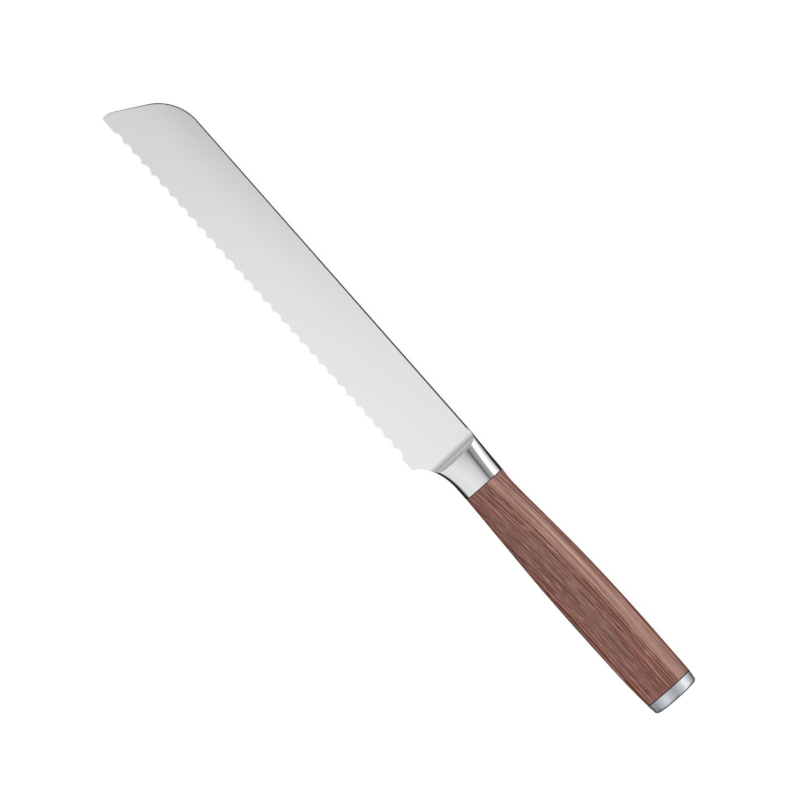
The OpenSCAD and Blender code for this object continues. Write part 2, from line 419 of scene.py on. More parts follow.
def linear(colour: str) -> tuple[float, float, float, float]:
    """Turn an sRGB hex colour into the linear colour that a shader takes.

    Args:
        colour: The colour, such as "#8a6159".

    Returns:
        Linear red, green, blue and an alpha of 1.
    """
    channels = [int(colour[i:i + 2], 16) / 255 for i in (1, 3, 5)]
    return (*[c / 12.92 if c <= 0.04045 else ((c + 0.055) / 1.055) ** 2.4 for c in channels], 1.0)


class Nodes:
    """A shader's nodes, added to an empty tree one after another."""

    def __init__(self, tree: bpy.types.NodeTree) -> None:
        """Empty the tree.

        Args:
            tree: The tree.
        """
        self.tree = tree
        self.tree.nodes.clear()

    def add(self, kind: str, inputs: dict[str | int, object], **settings: object) -> bpy.types.Node:
        """Add one node with its settings and links.

        Args:
            kind: Its type, without "ShaderNode".
            inputs: What each input holds: a value, or the output that feeds it.
            **settings: Its other properties.

        Returns:
            The node.
        """
        node = self.tree.nodes.new(f"ShaderNode{kind}")
        for name, value in settings.items():
            setattr(node, name, value)
        for key, value in inputs.items():
            if isinstance(value, bpy.types.NodeSocket):
                self.tree.links.new(value, node.inputs[key])
            else:
                node.inputs[key].default_value = value
        return node

    def axes(self, space: str = "Object") -> bpy.types.NodeOutputs:
        """Give the X, Y and Z of the place or direction that is shaded."""
        return self.add("SeparateXYZ", {0: self.add("TexCoord", {}).outputs[space]}).outputs

    def maths(self, operation: str, *values: Feed) -> bpy.types.NodeSocket:
        """Give the result of one step of arithmetic."""
        return self.add("Math", dict(enumerate(values)), operation=operation).outputs[0]

    def spread(self, value: Feed, low: float, high: float, to_low: float = 0.0, to_high: float = 1.0,
               **settings: object) -> bpy.types.NodeSocket:
        """Spread a value between two limits over another range, and hold it there beyond them.

        Args:
            value: The value.
            low: Where the range begins.
            high: Where it ends.
            to_low: What it gives at its beginning.
            to_high: What it gives at its end.
            **settings: The node's other properties.

        Returns:
            The value in its new range.
        """
        return self.add("MapRange", {
            "Value": value, "From Min": low, "From Max": high, "To Min": to_low, "To Max": to_high,
        }, **settings).outputs[0]

    def levels(self, value: Feed, stops: Stops) -> bpy.types.NodeSocket:
        """Give the grey that belongs to a value from 0 to 1.

        Args:
            value: The value.
            stops: Values, each with its level from 0 to 1.

        Returns:
            The grey.
        """
        node = self.add("ValToRGB", {"Fac": value})
        while len(node.color_ramp.elements) < len(stops):
            node.color_ramp.elements.new(1)
        for element, (place, level) in zip(node.color_ramp.elements, stops):
            element.position, element.color = place, (level, level, level, 1)
        return node.outputs[0]

    def mix(self, amount: Feed, first: Feed, second: Feed) -> bpy.types.NodeSocket:
        """Give a mixture of two colours, with this amount of the second."""
        inputs = {"Factor": amount, "A": first, "B": second}
        return self.add("Mix", inputs, data_type="RGBA").outputs["Result"]

    def streaks(self, lengths: Lengths, detail: float,
                place: bpy.types.NodeSocket | None = None) -> bpy.types.NodeSocket:
        """Add a noise whose grains have a given length each way.

        Args:
            lengths: Length of a grain along X, Y and Z, in millimetres.
            detail: Octaves of the noise.
            place: Where the noise is read; the piece's own coordinates if left out.

        Returns:
            The noise's value, from 0 to 1.
        """
        if place is None:
            place = self.add("TexCoord", {}).outputs["Object"]
        scale = tuple(1 / (length * MM) for length in lengths)
        stretched = self.add("Mapping", {"Vector": place, "Scale": scale}).outputs[0]
        noise = {"Vector": stretched, "Scale": 1.0, "Detail": detail, "Roughness": 0.55}
        return self.add("TexNoise", noise).outputs["Fac"]


class Recipe(Nodes):
    """The nodes of one material."""

    def __init__(self, name: str) -> None:
        """Start the material.

        Args:
            name: Its name.
        """
        self.material = bpy.data.materials.new(name)
        self.material.use_nodes = True
        super().__init__(self.material.node_tree)

    def relief(self, height: Feed, depth: float, **settings: object) -> bpy.types.NodeSocket:
        """Give the normal of a surface with shallow relief, this many millimetres deep."""
        inputs = {"Height": height, "Distance": depth * MM, "Strength": 0.5}
        return self.add("Bump", inputs, **settings).outputs[0]

    def surface(self, **inputs: object) -> bpy.types.Material:
        """Close the material with what light meets.

        Args:
            **inputs: Inputs of the surface, such as Base_Color, with _ for each space.

        Returns:
            The finished material.
        """
        named = {name.replace("_", " "): value for name, value in inputs.items()}
        return self.close(self.add("BsdfPrincipled", named))

    def close(self, shader: bpy.types.Node) -> bpy.types.Material:
        """Close the material with a shader's node."""
        self.add("OutputMaterial", {"Surface": shader.outputs[0]})
        return self.material


@dataclass(frozen=True)
class GroundSteel:
    """Stainless blade steel, belt ground to a satin.

    The eye sees pale grey with soft lines across the blade. They are drawn coarser than a belt
    leaves them, which is about 0.1 mm, so that they don't vanish at arm's length.

    Args:
        name: The finish's name.
        grain: Length of a grinding line along X, Y and Z, in millimetres.
        roughness: How far the satin spreads a reflection.
        relief: Depth of the lines, in millimetres.
        wash: How far the buffing wheel wore the face down at the spine by the tip, in millimetres.
        worn_y: Heights above the edge line between which the wear grows to its full depth.
        worn_x: Distances from the tip between which it fades out.
        pale: Colour of the metal.
        uneven: How far the roughness varies along the lines.
    """

    name: str
    grain: Lengths = (0.35, 9.0, 9.0)
    roughness: float = 0.34
    relief: float = 0.002
    wash: float = 0.0
    worn_y: tuple[float, float] = (14.0, 29.0)
    worn_x: tuple[float, float] = (20.0, 165.0)
    pale: str = "#f0f0f0"
    uneven: float = 0.05

    def material(self) -> bpy.types.Material:
        """Make the finish's material."""
        recipe = Recipe(self.name)
        lines = recipe.streaks(self.grain, 3)
        rough = recipe.spread(lines, 0, 1, self.roughness - self.uneven, self.roughness + self.uneven)
        normal = recipe.relief(lines, self.relief)
        if self.wash:
            worn = {"Height": self.worn(recipe), "Distance": self.wash * MM, "Normal": normal}
            normal = recipe.add("Bump", worn).outputs[0]
        return recipe.surface(Base_Color=linear(self.pale), Metallic=1.0, Roughness=rough, Normal=normal)

    def worn(self, recipe: Recipe) -> bpy.types.NodeSocket:
        """Give the height of the face where buffing has rounded it towards spine and nose.

        Args:
            recipe: The material's nodes.

        Returns:
            The height, from 1 down to 0.
        """
        axes = recipe.axes()
        up = recipe.spread(axes["Y"], *[KNIFE.at(0, y, 0).y for y in self.worn_y])
        ahead = recipe.spread(axes["X"], *[KNIFE.at(x, 0, 0).x for x in self.worn_x], 1.0, 0.0)
        depth = recipe.maths("MULTIPLY", recipe.maths("POWER", up, 2.0), ahead)
        return recipe.maths("SUBTRACT", 1.0, depth)


@dataclass(frozen=True)
class PolishedSteel:
    """Stainless steel, buffed to a mirror: clear reflections, faint wheel marks up close.

    Args:
        name: The finish's name.
        pale: Colour of the metal.
        roughness: How far the polish spreads a reflection.
        uneven: How far the wheel marks vary it, as a share of it.
        marks: Length of a wheel mark along X, Y and Z, in millimetres.
    """

    name: str = "blade steel, mirror polished"
    pale: str = "#dedede"
    roughness: float = 0.08
    uneven: float = 0.3
    marks: Lengths = (6.0, 0.5, 0.5)

    def material(self) -> bpy.types.Material:
        """Make the finish's material."""
        recipe = Recipe(self.name)
        low, high = self.roughness * (1 - self.uneven), self.roughness * (1 + self.uneven)
        rough = recipe.spread(recipe.streaks(self.marks, 3), 0, 1, low, high)
        return recipe.surface(Base_Color=linear(self.pale), Metallic=1.0, Roughness=rough)


@dataclass(frozen=True)
class BrushedSteel:
    """Stainless steel, brushed lengthways on a belt: bluish, with fine lines, and with soft pale bands of
    reflection painted into its colour.

    Args:
        name: The finish's name.
        pale: Colour of its pale bands, which are painted reflection.
        dull: Colour between them, painted shade between the reflections.
        painted_reflection_bands: Heights above the edge line, in millimetres, with the share of the pale
            colour there: where reflections are painted in.
        lines: Length of a brushed line along X, Y and Z, in millimetres.
        sway: How far a line shifts the painted reflection bands, as a share of their whole height.
        roughness: How far the brushing spreads a reflection.
        uneven: How far the roughness varies from line to line.
        relief: Depth of the lines, in millimetres.
    """

    name: str = "cap steel, brushed lengthways"
    pale: str = "#e6ecf0"
    dull: str = "#8b9299"
    # Painted reflection: pale bands across the cap's height, with painted shade between them.
    painted_reflection_bands: Stops = (
        (8.0, 1.0), (10.2, 1.0), (11.0, 0.1), (13.0, 0.33), (16.0, 0.72), (18.5, 0.52), (21.0, 0.38),
        (22.5, 0.7), (24.0, 1.0), (25.5, 1.0), (27.0, 0.6), (28.5, 0.5), (29.5, 0.9), (31.0, 1.0),
    )
    lines: Lengths = (14.0, 0.2, 0.2)
    sway: float = 0.04
    roughness: float = 0.42
    uneven: float = 0.06
    relief: float = 0.006

    def material(self) -> bpy.types.Material:
        """Make the finish's material."""
        recipe = Recipe(self.name)
        lines = recipe.streaks(self.lines, 3)
        low, high = self.painted_reflection_bands[0][0], self.painted_reflection_bands[-1][0]
        share = recipe.spread(recipe.axes()["Y"], KNIFE.at(0, low, 0).y, KNIFE.at(0, high, 0).y)
        swayed = recipe.maths("MULTIPLY_ADD", lines, self.sway, share)
        stops = [((y - low) / (high - low) + self.sway / 2, level) for y, level in self.painted_reflection_bands]
        level = recipe.add("RGBToBW", {0: recipe.levels(swayed, stops)}).outputs[0]
        # The cap's colour runs from painted shade to painted reflection along these bands.
        colour = recipe.mix(level, linear(self.dull), linear(self.pale))
        rough = recipe.spread(lines, 0, 1, self.roughness - self.uneven, self.roughness + self.uneven)
        normal = recipe.relief(lines, self.relief)
        return recipe.surface(Base_Color=colour, Metallic=1.0, Roughness=rough, Normal=normal)


@dataclass(frozen=True)
class Streak:
    """One kind of streak in the wood.

    Args:
        lengths: Its length along X, Y and Z, in millimetres.
        low: Level of the noise at which it begins to show.
        high: Level at which it shows in full.
        tint: Its colour.
        weight: How strongly it covers what lies beneath.
        detail: Octaves of the noise.
        in_painted_sheen: Whether it shows only in the band along the back where a sheen highlight is
            painted into the colour.
    """

    lengths: Lengths
    low: float
    high: float
    tint: str = "#3d1913"
    weight: float = 0.0
    detail: float = 1.0
    in_painted_sheen: bool = False

    def amount(self, recipe: Recipe, grain: bpy.types.NodeSocket) -> bpy.types.NodeSocket:
        """Give how much of it shows, where the grain's own coordinates are given."""
        noise = recipe.streaks(self.lengths, self.detail, grain)
        return recipe.spread(noise, self.low, self.high, interpolation_type="SMOOTHSTEP")


# Colour of pale fibres, also used for the sheen highlight painted along the back.
PALE_FIBRE_AND_SHEEN = "#e8b5a4"
FINE_FIBRES = Streak((60.0, 0.34, 6.0), 0.46, 0.57, weight=0.5)
PORES = Streak((3.5, 0.2, 0.2), 0.60, 0.70)


@dataclass(frozen=True)
class OiledWood:
    """Resin-filled walnut-brown hardwood, sanded and oiled.

    The eye sees long, fine, reddish fibres on a grey-brown ground, dark pores as short dashes,
    and a soft sheen. Pale fibres along the back are let through only in a band, a sheen highlight
    painted into the colour. The grain climbs towards the butt just behind the bolster. The fibres
    are drawn somewhat coarser than real ones, so that they read at arm's length.

    Args:
        ground: Colour between the fibres.
        streaks: What lies over the ground, from the bottom up.
        climb: How far the grain has climbed at the end of its bend, in millimetres.
        bend: Length over which it climbs, in millimetres.
        sway: How far the grain sways from side to side, in millimetres.
        swing: Length of a sway along X, Y and Z, in millimetres.
        back: Heights above the edge line between which the painted sheen band is placed.
        sheen_band_shares: Shares of that height, each with how much of the painted sheen band shows there.
        roughness: Sheen of the oiled surface.
        open_pore: How much rougher a pore is.
        relief: Depth of pores and fibres, in millimetres.
    """

    ground: str = "#774a3e"
    streaks: tuple[Streak, ...] = (
        Streak((90.0, 1.2, 10.0), 0.42, 0.58, "#964e3e", 0.8, 2.0),
        # Shown only in the band along the back: pale fibres as a painted sheen highlight.
        Streak((90.0, 0.8, 9.0), 0.28, 0.52, PALE_FIBRE_AND_SHEEN, 0.62, 2.0, in_painted_sheen=True),
        Streak((90.0, 0.46, 8.0), 0.50, 0.62, weight=0.45),
        Streak((60.0, 0.37, 6.0), 0.52, 0.62, PALE_FIBRE_AND_SHEEN, 0.4),
        FINE_FIBRES,
        Streak((7.0, 0.34, 2.0), 0.52, 0.68, PALE_FIBRE_AND_SHEEN, 0.3),
    )
    climb: float = 5.0
    bend: float = 38.0
    sway: float = 0.4
    swing: Lengths = (60.0, 12.0, 12.0)
    back: tuple[float, float] = (20.0, 34.0)
    sheen_band_shares: Stops = ((0.28, 0.0), (0.44, 1.0), (0.62, 1.0), (0.78, 0.25))
    roughness: float = 0.36
    open_pore: float = 0.2
    relief: float = 0.025

    def material(self) -> bpy.types.Material:
        """Make the wood's material."""
        recipe = Recipe("walnut-brown hardwood, oiled")
        axes = recipe.axes()
        level = self.level(recipe, axes)
        grain = recipe.add("CombineXYZ", {"X": axes["X"], "Y": level, "Z": axes["Z"]}).outputs[0]
        # A painted highlight: the band along the back where the pale fibres show, standing in for sheen.
        painted_sheen_band = recipe.levels(
            recipe.spread(level, *[KNIFE.at(0, y, 0).y for y in self.back]), self.sheen_band_shares
        )
        amounts = {streak: streak.amount(recipe, grain) for streak in (*self.streaks, PORES)}
        colour: Feed = linear(self.ground)
        for streak in self.streaks:
            amount = amounts[streak]
            if streak.in_painted_sheen:
                amount = recipe.maths("MULTIPLY", painted_sheen_band, amount)
            cover = recipe.maths("MULTIPLY", amount, streak.weight)
            colour = recipe.mix(cover, colour, linear(streak.tint))
        hollows = recipe.maths("ADD", amounts[PORES], amounts[FINE_FIBRES])
        return recipe.surface(
            Base_Color=colour, IOR=1.48, Normal=recipe.relief(hollows, self.relief, invert=True),
            Roughness=recipe.spread(amounts[PORES], 0, 1, self.roughness, self.roughness + self.open_pore),
        )

    def level(self, recipe: Recipe, axes: bpy.types.NodeOutputs) -> bpy.types.NodeSocket:
        """Give the height in the log that a place on the grip was cut from.

        Args:
            recipe: The material's nodes.
            axes: The place's X, Y and Z.

        Returns:
            The height, in metres, with the grain's climb and its sway.
        """
        ends = [KNIFE.at(KNIFE.handle_x + run, 0, 0).x for run in (0, 2 * self.bend)]
        left = recipe.maths("SUBTRACT", 1.0, recipe.spread(axes["X"], *ends))
        shift = recipe.maths("MULTIPLY", recipe.maths("POWER", left, 2.0), self.climb * MM)
        climbed = recipe.maths("ADD", axes["Y"], shift)
        return recipe.maths("MULTIPLY_ADD", recipe.streaks(self.swing, 2), self.sway * MM, climbed)


@dataclass(frozen=True)
class PlainSolid:
    """A hidden or dark material with a slight mottle: pressed fibre, cast epoxy or plated steel.

    Args:
        name: The finish's name.
        colour: Its colour.
        mottle: Its second colour.
        roughness: Its roughness.
        metallic: 1 for a metal.
        grain: Size of the mottle, in millimetres.
    """

    name: str
    colour: str
    mottle: str
    roughness: float
    metallic: float = 0.0
    grain: float = 0.4

    def material(self) -> bpy.types.Material:
        """Make the finish's material."""
        recipe = Recipe(self.name)
        noise = recipe.streaks((self.grain, self.grain, self.grain), 3)
        mottled = recipe.mix(noise, linear(self.colour), linear(self.mottle))
        return recipe.surface(Base_Color=mottled, Roughness=self.roughness, Metallic=self.metallic)


SATIN = GroundSteel("blade steel, satin ground", wash=0.65)
RAMP_GRIND = GroundSteel("blade steel, ramp ground", (9.0, 0.4, 0.4), 0.27, relief=0.0005)
SCALLOP_GRIND = GroundSteel("blade steel, scallop ground", (0.12, 4.0, 4.0), 0.28)
BRUSHED = BrushedSteel()
MIRROR = PolishedSteel()
WOOD = OiledWood()
FIBRE = PlainSolid("vulcanised fibre, black", "#141213", "#221f20", 0.6)
EPOXY = PlainSolid("epoxy, cast and cured", "#c9b578", "#b8a05f", 0.3, grain=2.0)
PLATED = PlainSolid("steel, zinc plated", "#b9bcc0", "#9fa3a8", 0.35, metallic=1.0, grain=1.2)


# ---------------------------------------------------------------------------- the grip


@dataclass(frozen=True)
class GripProfile:
    """Outline of the grip along the wood, on the same curve as the frame's.

    Args:
        palm_h: Height at the palm swell.
        palm_w: Width at the palm swell.
        squareness: Squareness of its section: 2 is an ellipse.
        neck: Place of the neck along the wood, how much slimmer it is, and how far it dips.
        swell: Places between neck and palm, each with the share of the change in height,
            in lift and in width that has come there.
        palm: Place of the palm swell, and how far the middle is lifted there.
        heel: Place behind the palm, its lift, and shares of the change to the butt in height and width.
    """

    palm_h: float = 23.9
    palm_w: float = 19.5
    squareness: float = 2.4
    neck: tuple[float, float, float] = (0.05, 0.2, -0.25)
    swell: tuple[tuple[float, float, float, float], ...] = (
        (0.24, 0.40, 0.10, 0.36), (0.40, 0.78, 0.45, 0.72), (0.57, 0.97, 0.75, 0.95),
    )
    palm: tuple[float, float] = (0.73, 0.9)
    heel: tuple[float, float, float, float] = (0.88, 1.0, 0.28, 0.42)

    def stations(self) -> list[tuple[float, float, float, float]]:
        """Give the places along the wood with their height, lift and width."""
        front_h, front_w = 2 * KNIFE.front.half_h, 2 * KNIFE.front.half_w
        butt_h, butt_w = 2 * KNIFE.butt.half_h, 2 * KNIFE.butt.half_w
        grow_h, grow_w = self.palm_h - front_h, self.palm_w - front_w
        place, lift, share_h, share_w = self.heel
        return [
            (0.0, front_h, 0.0, front_w),
            (self.neck[0], front_h - self.neck[1], self.neck[2], front_w),
            *[(s, front_h + grow_h * h, self.palm[1] * y, front_w + grow_w * w)
              for s, h, y, w in self.swell],
            (self.palm[0], self.palm_h, self.palm[1], self.palm_w),
            (place, self.palm_h + (butt_h - self.palm_h) * share_h, lift,
             self.palm_w + (butt_w - self.palm_w) * share_w),
            (1.0, butt_h, KNIFE.butt.y - KNIFE.front.y, butt_w),
        ]

    def measure(self, share: float, column: int) -> float:
        """Read one column of the stations at a place between them, on a smooth curve.

        Args:
            share: Place along the wood, from 0 to 1.
            column: 1 for the height, 2 for the lift, 3 for the width.

        Returns:
            The measure, in millimetres.
        """
        rows = self.stations()
        i = max(j for j in range(len(rows) - 1) if rows[j][0] <= share)

        def slope(j: int) -> float:
            """Give the slope at a station from the stations beside it."""
            before, after = rows[max(j - 1, 0)], rows[min(j + 1, len(rows) - 1)]
            return (after[column] - before[column]) / (after[0] - before[0])

        width = rows[i + 1][0] - rows[i][0]
        u = (share - rows[i][0]) / width
        rest = rows[i][column] * (2 * u**3 - 3 * u**2 + 1) + rows[i + 1][column] * (3 * u**2 - 2 * u**3)
        return rest + width * (slope(i) * (u**3 - 2 * u**2 + u) + slope(i + 1) * (u**3 - u**2))

    def section(self, share: float, x: float, inset: float = 0.0) -> Section:
        """Give the grip's section.

        Args:
            share: Place along the wood, from 0 to 1, that it is taken from.
            x: Where it is put along the knife.
            inset: How far it is drawn in.

        Returns:
            The section.
        """
        return Section(x, KNIFE.front.y + self.measure(share, 2),
                       self.measure(share, 1) / 2 - inset, self.measure(share, 3) / 2 - inset)


GRIP = GripProfile()
PAST = 1 * MM  # how far a tool runs out beyond what it cuts
SLACK = 0.02 * MM  # room around the pins in their holes


def bore(start: float, stop: float, y: float, z: float, radius: float) -> Workpiece:
    """Give a rod along the knife.

    Args:
        start: Its front end, in metres.
        stop: Its rear end.
        y: Height of its middle.
        z: Place of its middle to the left.
        radius: Its radius.

    Returns:
        The rod.
    """
    return Workpiece.rod("bore", Vector(((start + stop) / 2, y, z)), radius, stop - start,
                         Euler((0, math.pi / 2, 0)))


def pin_bores(start: float, stop: float) -> list[Workpiece]:
    """Give the two rods that open the holes of the cap's pins.

    Args:
        start: Their front ends, in metres.
        stop: Their rear ends.

    Returns:
        The rods.
    """
    low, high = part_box("cap_pins")
    radius = (high.z - low.z) / 2
    return [bore(start, stop, y, low.z + radius, radius + SLACK) for y in (low.y + radius, high.y - radius)]


@dataclass(frozen=True)
class Handle:
    """The wooden grip, with its slot for the tang, its bore and well, and its pin holes.

    Args:
        steps: Number of sections along the wood.
        arris: Width of the broken edge at each end.
        tail_room: Room around the threaded tail in its bore.
        well_room: Room around the washer in the well.
    """

    steps: int = 56
    arris: float = 0.12
    tail_room: float = 0.3
    well_room: float = 0.75

    def build(self) -> None:
        """Draw the wood out from bolster to butt and hollow it."""
        length = KNIFE.butt_x - KNIFE.handle_x
        sections = [GRIP.section(0, KNIFE.handle_x, self.arris)]
        for i in range(self.steps + 1):
            share = min(max(i / self.steps, self.arris / length), 1 - self.arris / length)
            sections.append(GRIP.section(share, KNIFE.handle_x + share * length))
        sections.append(GRIP.section(1, KNIFE.butt_x, self.arris))
        wood = Workpiece.oval("wood", sections[0], GRIP.squareness)
        wood.draw_out(sections)
        wood.join_with(Joinery.CUT, *self.hollows())
        wood.smooth(28)
        wood.paint((WOOD.material(), anywhere))
        wood.deliver("handle", "walnut_brown_wood")

    def hollows(self) -> list[Workpiece]:
        """Give the solids that hollow the wood: slot, tail bore, well and pin holes."""
        slot_low, slot_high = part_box("tang_bedding")
        washer_low, washer_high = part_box("tang_washer")
        tail_y, tail_z = (washer_low.y + washer_high.y) / 2, (washer_low.z + washer_high.z) / 2
        nut_x, pins_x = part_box("tang_nut")[1].x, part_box("cap_pins")[0].x
        end_x = KNIFE.at(KNIFE.butt_x, 0, 0).x + PAST
        tail_r = (FORGING.tail_d / 2 + self.tail_room) * MM
        well_r = (washer_high.y - washer_low.y) / 2 + self.well_room * MM
        return [
            Workpiece.block("slot", Vector((slot_low.x - PAST, *slot_low.yz)), slot_high),
            bore(slot_high.x - PAST, nut_x, tail_y, tail_z, tail_r),
            bore(washer_low.x, end_x, tail_y, tail_z, well_r),
            *pin_bores(pins_x - SLACK, end_x),
        ]


@dataclass(frozen=True)
class Spacer:
    """A thin plate of black fibre across the grip.

    Args:
        node: The frame's node.
        share: Place along the wood whose section it takes.
        recess: How far it lies below the steel and the wood beside it.
    """

    node: str
    share: float
    recess: float

    def build(self) -> None:
        """Draw the plate out to its thickness and cut its holes."""
        low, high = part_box(self.node)
        sections = [GRIP.section(self.share, (end.x - KNIFE.origin.x) / MM, self.recess)
                    for end in (low, high)]
        plate = Workpiece.oval("plate", sections[0], GRIP.squareness)
        plate.draw_out(sections)
        plate.join_with(Joinery.CUT, *self.holes(low.x, high.x))
        plate.smooth(30)
        plate.paint((FIBRE.material(), anywhere))
        plate.deliver(self.node, "black_fibre")

    def holes(self, start: float, stop: float) -> list[Workpiece]:
        """Give what passes through the plate.

        Args:
            start: Front of the plate, in metres.
            stop: Rear of the plate, in metres.

        Returns:
            The tang's slot at the bolster, or the pin holes at the butt.
        """
        start, stop = start - PAST, stop + PAST
        if self.share == 1:
            return pin_bores(start, stop)
        low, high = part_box("tang_bedding")
        return [Workpiece.block("slot", Vector((start, *low.yz)), Vector((stop, *high.yz)))]


@dataclass(frozen=True)
class EndCap:
    """The steel cap: drafted sides, a rounded rim and a slightly crowned rear face.

    Args:
        draft: How far its sides draw in.
        rim_r: Radius of its rim.
        crown: Height of its crown.
        arris: Width of the broken edge at its joint.
        dome: Share of the rear face's half width that the crown's sections cover.
        rim_steps: Number of sections round the rim.
        crown_steps: Number of sections up the crown.
    """

    draft: float = 0.4
    rim_r: float = 1.5
    crown: float = 0.6
    arris: float = 0.05
    dome: float = 0.97
    rim_steps: int = 10
    crown_steps: int = 8

    def build(self) -> None:
        """Draw the cap out from its joint to its crown."""
        rim_x = KNIFE.end_x - self.crown - self.rim_r
        side_inset = self.draft + self.rim_r
        reach = KNIFE.butt.half_w - side_inset
        sections = [GRIP.section(1, KNIFE.cap_x, self.arris), GRIP.section(1, KNIFE.cap_x + self.arris)]
        for i in range(self.rim_steps + 1):
            angle = math.pi / 2 * i / self.rim_steps
            sections.append(GRIP.section(1, rim_x + self.rim_r * math.sin(angle),
                                         side_inset - self.rim_r * math.cos(angle)))
        for i in range(1, self.crown_steps + 1):
            share = i / self.crown_steps
            rise = 1 - (1 - share) ** 2
            sections.append(GRIP.section(1, rim_x + self.rim_r + self.crown * rise,
                                         side_inset + self.dome * share * reach))
        cap = Workpiece.oval("cap", sections[0], GRIP.squareness)
        cap.draw_out(sections)
        pins_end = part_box("cap_pins")[1].x
        cap.join_with(Joinery.CUT, *pin_bores(KNIFE.at(KNIFE.cap_x, 0, 0).x - PAST, pins_end + SLACK))
        cap.smooth(40)
        cap.paint((BRUSHED.material(), anywhere))
        cap.deliver("end_cap", "cap_steel")


# ---------------------------------------------------------------------------- the forging


@dataclass(frozen=True)
class Forging:
    """The blade, its bolster and its tang, forged in one.

    Args:
        blade_h: Height of the blade.
        spine_t: Thickness of the spine at the heel.
        edge_t: Thickness at the edge line at the heel, before the edge is ground.
        distal_taper: Thickness that the blade loses from heel to tip.
        blade_len: Length from the tip to the bolster.
        nose_angle: Slope of the front of the tip, in degrees.
        nose_r: Radius from the front of the tip to the spine.
        nose_land: Height of the upright front edge.
        nose_blend_r: Radius between upright edge and slope.
        tip_r: Radius of the tip's lower corner.
        heel_x: Place of the heel corner.
        plate_x: Rear end of the blade's plate, inside the bolster.
        ramp_x: Foot of the bolster's ramp, at the spine.
        ramp_r: Radius of the hollow ramp.
        ramp_skew: How far the ramp's foot falls back over the blade's height.
        bolster_w: Thickness of the bolster at the ramp's foot, if it were not hollowed.
        bolster_ease: How soon the bolster takes on the grip's width.
        choil_run: Distance from the heel corner to where the choil runs level.
        choil_drop: Distance of the choil curve's centre below the edge line.
        tang: Height, thickness and length of the flat tang.
        tail_d: Diameter of the threaded tail.
        tip_plain: Length of plain edge at the tip.
        pitch: Distance from tooth to tooth.
        tooth_w: Width of a flat tooth tip.
        scallop_count: Number of scallops.
        scallop_depth: Depth of a scallop.
        scallop_angle: Angle between a scallop and the left face, in degrees.
        teeth_rise: Height that the row of teeth gains from tip to heel.
        bevel_angle: Angle between the plain edge's bevel and the left face, in degrees.
        edge_land: Thickness left at the very edge.
        spine_rows: Number of lines from the spine's crown to the blade's side.
        spine_lean: Slope of the flat beside the crown, in degrees.
        spine_ridge: Depth and height over the middle plane where that flat begins, as shares of
            half the thickness.
        spine_corner_r: Radius from that flat to the side, as a share of half the thickness.
        spine_fade: Height over which the rounding runs out above the tip's corner.
    """

    blade_h: float = 28.9
    spine_t: float = 2.2
    edge_t: float = 0.6
    distal_taper: float = 0.4
    blade_len: float = 200.0
    nose_angle: float = 61.0
    nose_r: float = 21.0
    nose_land: float = 3.5
    nose_blend_r: float = 6.0
    tip_r: float = 1.0
    heel_x: float = 193.3
    plate_x: float = 203.3
    ramp_x: float = 196.2
    ramp_r: float = 5.4
    ramp_skew: float = 1.0
    bolster_w: float = 8.0
    bolster_ease: float = 1.4
    choil_run: float = 17.7
    choil_drop: float = 3.0
    tang: tuple[float, float, float] = (9.0, 4.0, 74.0)
    tail_d: float = 5.0
    tip_plain: float = 8.1
    pitch: float = 5.78
    tooth_w: float = 0.98
    scallop_count: int = 31
    scallop_depth: float = 1.1
    scallop_angle: float = 20.0
    teeth_rise: float = 0.6
    bevel_angle: float = 15.0
    edge_land: float = 0.08
    spine_rows: int = 6
    spine_lean: float = 56.0
    spine_ridge: tuple[float, float] = (0.12, 0.27)
    spine_corner_r: float = 0.2
    spine_fade: float = 3.0

    @property
    def last_scallop_x(self) -> float:
        """Middle of the last scallop before the heel."""
        return self.tip_plain + (self.pitch - self.tooth_w) / 2 + (self.scallop_count - 1) * self.pitch

    @property
    def slope_x(self) -> float:
        """Growth of the blade's half thickness along its length."""
        return self.distal_taper / 2 / self.blade_len

    @property
    def slope_y(self) -> float:
        """Growth of the blade's half thickness up its height."""
        return (self.spine_t - self.edge_t) / 2 / self.blade_h

    def face(self, x: float, y: float) -> float:
        """Half the blade's thickness at a place on its side."""
        return (self.edge_t - self.distal_taper) / 2 + self.slope_x * x + self.slope_y * y

    @property
    def choil_size(self) -> tuple[float, float]:
        """Half the length and half the height of the oval that the choil curve is part of."""
        height = KNIFE.front.y - KNIFE.front.half_h + self.choil_drop
        return self.choil_run / math.cos(math.asin(self.choil_drop / height)), height

    def choil(self, x: float) -> float:
        """Height of the choil curve above the edge line at a place along the knife."""
        width, height = self.choil_size
        back = min((x - self.heel_x - self.choil_run) / width, 0)
        return height * math.sqrt(max(1 - back * back, 0)) - self.choil_drop

    def build(self) -> None:
        """Forge, grind and polish the blade."""
        knife = self.plate()
        knife.join_with(Joinery.CUT, self.choil_wheel(), self.edge_stone(), *self.scallop_wheels())
        knife.join_with(Joinery.WELD, self.bolster(), *self.tang_and_tail())
        knife.smooth(26)
        knife.paint(
            (MIRROR.material(), anywhere),
            (SATIN.material(), self.is_side), (RAMP_GRIND.material(), self.is_ramp),
            (SCALLOP_GRIND.material(), self.is_ground_edge),
        )
        knife.deliver("forged_blade", "blade_steel")

    def is_side(self, middle: Vector, normal: Vector) -> bool:
        """Tell whether a face lies flat, to about 3 degrees, on a side of the blade."""
        return abs(normal.z) > 0.9985 and abs(middle.z) < self.face(middle.x, middle.y) + 0.03

